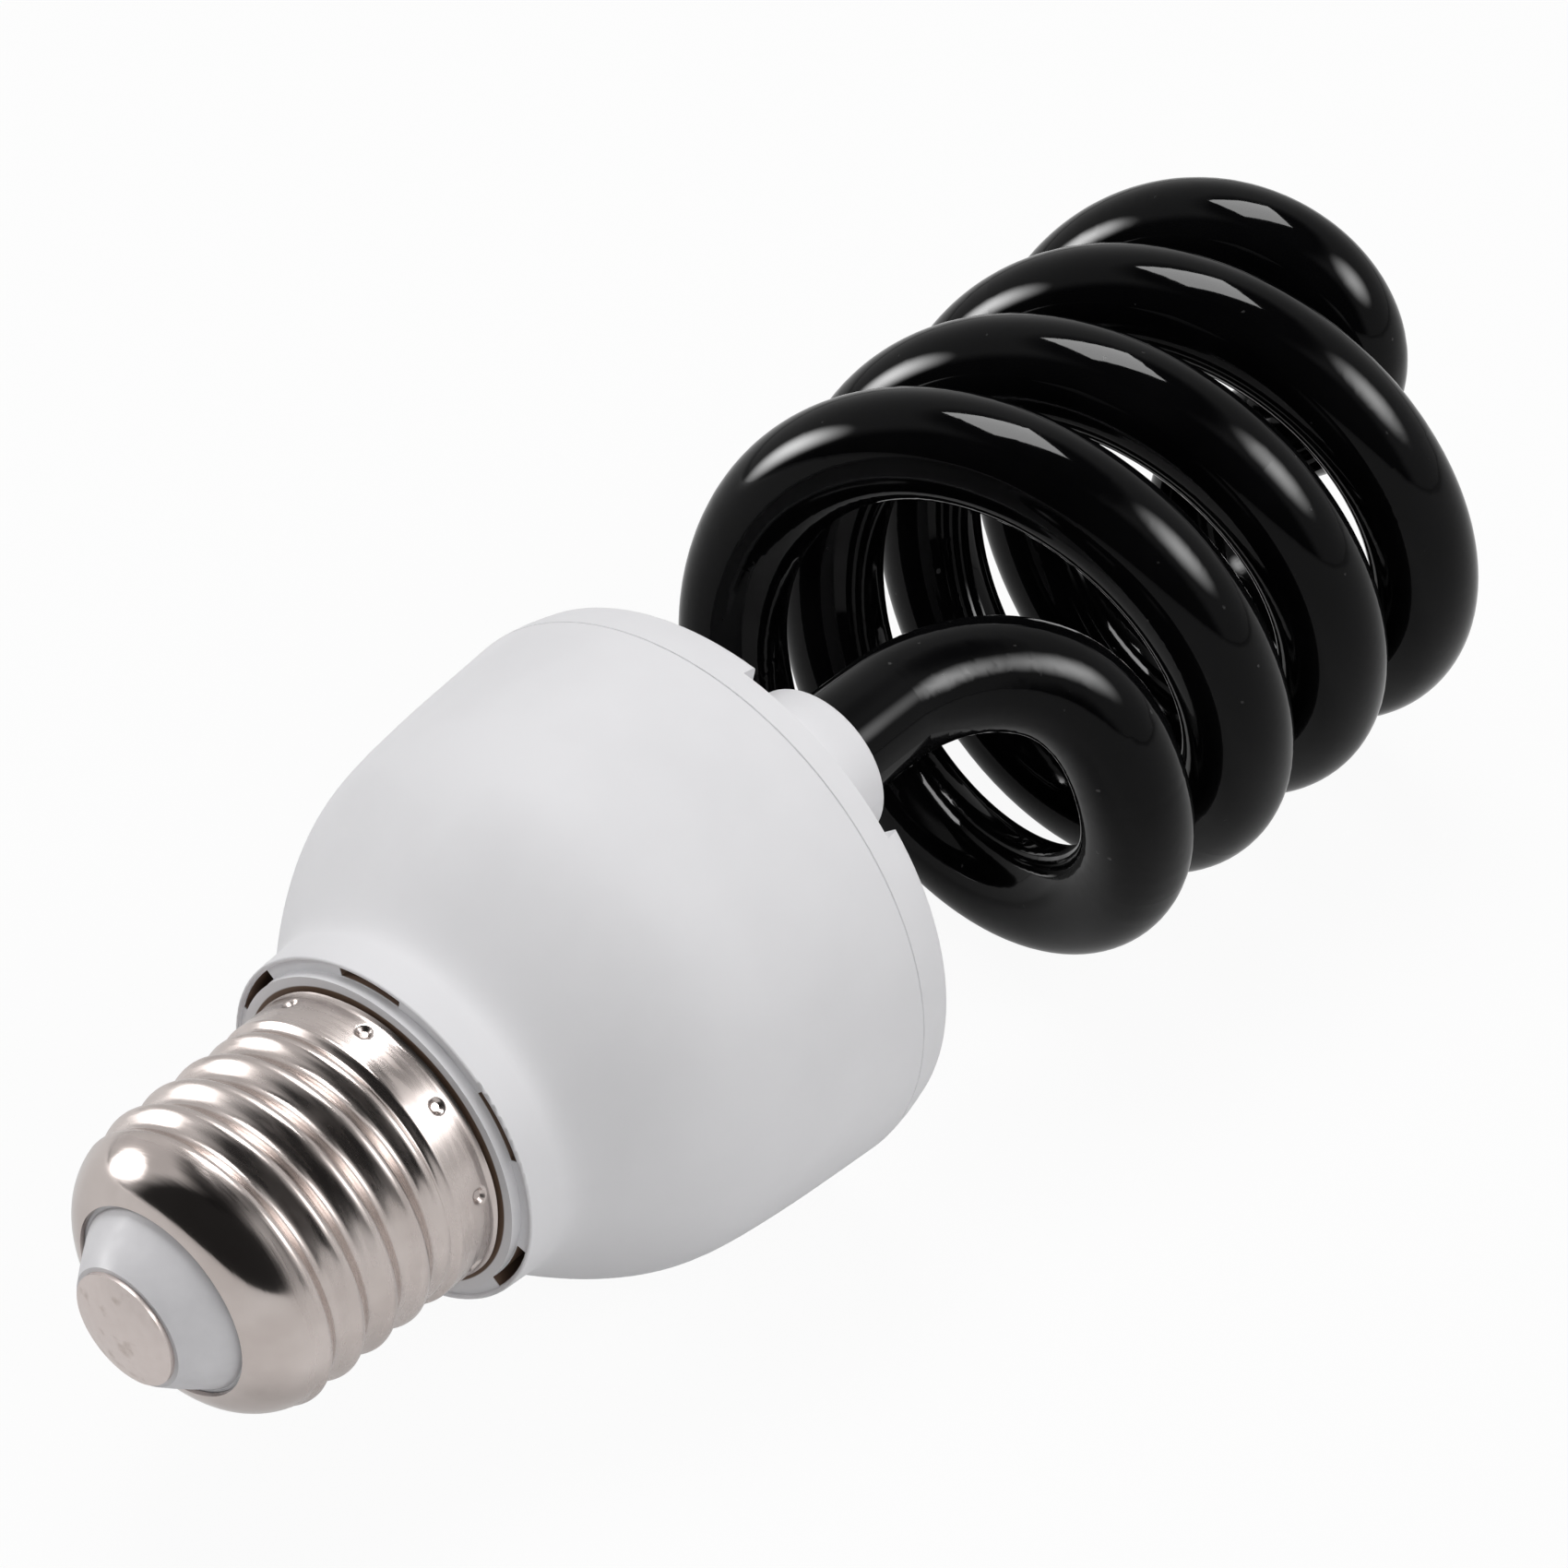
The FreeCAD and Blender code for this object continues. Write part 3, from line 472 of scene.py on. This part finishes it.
def cap_sheet(inset, rows):
    """Right, up and along, in mm, of every point of one side of the cap's sheet."""
    radius, z, offset = (rings[:, None] for rings in cap_rings(inset, rows))
    clock = np.linspace(0.0, 360.0, CAP_COLUMNS, endpoint=False)[None, :]
    radius = pressed(radius, z, clock) if inset == 0 else radius + 0 * clock
    crest = np.radians(THREAD_CREST_ANGLE + 360 * (z - THREAD_START) / THREAD_PITCH)
    turn = np.radians(clock)
    right = offset * np.sin(crest) + radius * np.sin(turn)
    up = offset * np.cos(crest) + radius * np.cos(turn)
    return right, up, z + 0 * clock


def ring_faces(start, rows, columns):
    """Quads between neighbouring rings of points, closed round the axis."""
    faces = []
    for row in range(rows - 1):
        low = start + row * columns
        high = low + columns
        for column in range(columns):
            following = (column + 1) % columns
            faces.append((low + column, low + following, high + following, high + column))
    return faces


def make_cap(axis, material):
    """The rolled sheet's two sides and its two edges, smooth where the sheet is bent."""
    outer = axis.places(*cap_sheet(0.0, OUTER_ROWS))
    inner = axis.places(*cap_sheet(SHELL_T, INNER_ROWS))
    rim = np.stack((outer[-1], inner[-1]))
    mouth = np.stack((inner[0], outer[0]))
    points, faces = [], []
    for strip in (outer, rim, inner[::-1], mouth):
        faces += ring_faces(len(points), len(strip), CAP_COLUMNS)
        points += strip.reshape(-1, 3).tolist()
    mesh = bpy.data.meshes.new("cap_skin")
    mesh.from_pydata(points, [], faces)
    mesh.shade_smooth()
    mesh.materials.append(material)
    cap = bpy.data.objects.new("cap_skin", mesh)
    bpy.context.scene.collection.objects.link(cap)
    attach(cap, "root")
    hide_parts("screw_shell")


# Stage

def glow_share(tree):
    """How much of the floor glows: most of it for the camera and through glass, less in mirrors."""
    rays = tree.nodes.new("ShaderNodeLightPath").outputs
    seen = math_node(tree, "MAXIMUM", rays["Is Camera Ray"], rays["Is Transmission Ray"])
    mirrored = math_node(tree, "MULTIPLY", rays["Is Glossy Ray"], MIRROR_SHARE)
    return math_node(tree, "MULTIPLY", math_node(tree, "MAXIMUM", seen, mirrored), FLOOR_GLOW)


def make_floor():
    """A pale floor that shows white and keeps a light shadow."""
    bpy.ops.mesh.primitive_plane_add(size=FLOOR_SIZE)
    floor = bpy.context.object
    floor.name = "floor"
    material = bpy.data.materials.new("floor")
    material.use_nodes = True
    tree = material.node_tree
    tree.nodes.clear()
    paint = tree.nodes.new("ShaderNodeBsdfDiffuse")
    paint.inputs["Color"].default_value = (FLOOR_WHITE, FLOOR_WHITE, FLOOR_WHITE, 1.0)
    glow = tree.nodes.new("ShaderNodeEmission")
    mix = tree.nodes.new("ShaderNodeMixShader")
    output = tree.nodes.new("ShaderNodeOutputMaterial")
    tree.links.new(glow_share(tree), mix.inputs[0])
    tree.links.new(paint.outputs["BSDF"], mix.inputs[1])
    tree.links.new(glow.outputs["Emission"], mix.inputs[2])
    tree.links.new(mix.outputs["Shader"], output.inputs["Surface"])
    floor.data.materials.append(material)


def backdrop_level(tree):
    """The backdrop's brightness in a mirror, by the way that the mirror looks."""
    way = tree.nodes.new("ShaderNodeTexCoord").outputs["Generated"]
    front = tree.nodes.new("ShaderNodeVectorMath")
    front.operation = "DOT_PRODUCT"
    front.inputs[1].default_value = DARK_WAY
    height = tree.nodes.new("ShaderNodeSeparateXYZ")
    tree.links.new(way, front.inputs[0])
    tree.links.new(way, height.inputs["Vector"])
    levels = (BACKDROP_LEVEL, DARK_LEVEL)
    around = map_range(tree, front.outputs["Value"], DARK_EDGE, levels, smooth=True)
    below_top = map_range(tree, height.outputs["Z"], TOP_EDGE, (1.0, TOP_SHARE), smooth=True)
    return math_node(tree, "MULTIPLY", around, below_top)


def make_world():
    """A dim even room that shows white to the camera and the backdrop to mirrors."""
    world = bpy.data.worlds.new("studio")
    world.use_nodes = True
    tree = world.node_tree
    rays = tree.nodes.new("ShaderNodeLightPath").outputs
    strength = tree.nodes.new("ShaderNodeMix")
    strength.inputs["A"].default_value = ROOM_LEVEL
    tree.links.new(rays["Is Glossy Ray"], strength.inputs["Factor"])
    tree.links.new(backdrop_level(tree), strength.inputs["B"])
    shown = math_node(tree, "MAXIMUM", strength.outputs["Result"], rays["Is Camera Ray"])
    background = tree.nodes["Background"]
    background.inputs["Color"].default_value = (1.0, 1.0, 1.0, 1.0)
    tree.links.new(shown, background.inputs["Strength"])
    bpy.context.scene.world = world


def fade_out(data):
    """Makes an area light fade out from its middle to its edges."""
    data.use_nodes = True
    tree = data.node_tree
    place = tree.nodes.new("ShaderNodeNewGeometry").outputs["Parametric"]
    from_middle = tree.nodes.new("ShaderNodeVectorMath")
    from_middle.operation = "DISTANCE"
    from_middle.inputs[1].default_value = LIGHT_MIDDLE
    tree.links.new(place, from_middle.inputs[0])
    away = from_middle.outputs["Value"]
    fade = map_range(tree, away, (LIGHT_REACH, 0.0), (0.0, 1.0), smooth=True)
    tree.links.new(fade, tree.nodes["Emission"].inputs["Strength"])


def shine_on(lamp, piece):
    """Keeps a light to what one piece mirrors."""
    receivers = bpy.data.collections.new(f"{lamp.name}_receivers")
    receivers.objects.link(piece)
    lamp.light_linking.receiver_collection = receivers
    lamp.visible_diffuse = False


def make_lights(glass):
    for name, light in LIGHTS.items():
        way = Vector(light.way).normalized()
        width, height = light.size
        data = bpy.data.lights.new(name, "AREA")
        data.shape = "RECTANGLE"
        data.size = width
        data.size_y = height
        data.energy = math.pi * light.radiance * width * height
        if light.soft:
            fade_out(data)
        lamp = bpy.data.objects.new(name, data)
        lamp.visible_glossy = not light.fill
        if light.shine:
            shine_on(lamp, glass)
        lamp.location = LIGHT_TARGET + way * light.distance
        lamp.rotation_euler = way.to_track_quat("Z", "Y").to_euler()
        bpy.context.scene.collection.objects.link(lamp)


def make_camera():
    data = bpy.data.cameras.new("camera")
    data.lens = CAMERA_LENS
    data.sensor_width = SENSOR_WIDTH
    camera = bpy.data.objects.new("camera", data)
    back = -CAMERA_FORWARD.normalized()
    right = CAMERA_UP.cross(back).normalized()
    turn = Matrix((right, back.cross(right), back)).transposed()
    camera.location = CAMERA_PLACE
    camera.rotation_euler = turn.to_euler()
    bpy.context.scene.collection.objects.link(camera)
    bpy.context.scene.camera = camera


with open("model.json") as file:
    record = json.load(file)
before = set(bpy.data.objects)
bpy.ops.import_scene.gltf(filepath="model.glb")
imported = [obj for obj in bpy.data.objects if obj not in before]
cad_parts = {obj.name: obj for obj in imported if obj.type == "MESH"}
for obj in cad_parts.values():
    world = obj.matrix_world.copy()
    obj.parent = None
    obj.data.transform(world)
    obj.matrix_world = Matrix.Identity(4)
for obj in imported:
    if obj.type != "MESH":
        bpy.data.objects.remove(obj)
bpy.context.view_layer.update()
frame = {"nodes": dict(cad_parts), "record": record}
bpy.context.scene.view_settings.view_transform = "Standard"
lamp_axis = LampAxis(frame["record"])
finishes = dress(frame["nodes"], frame["record"], lamp_axis)
make_cap(lamp_axis, finishes["nickel"])
make_floor()
make_world()
make_lights(frame["nodes"]["spiral_tube"])
make_camera()
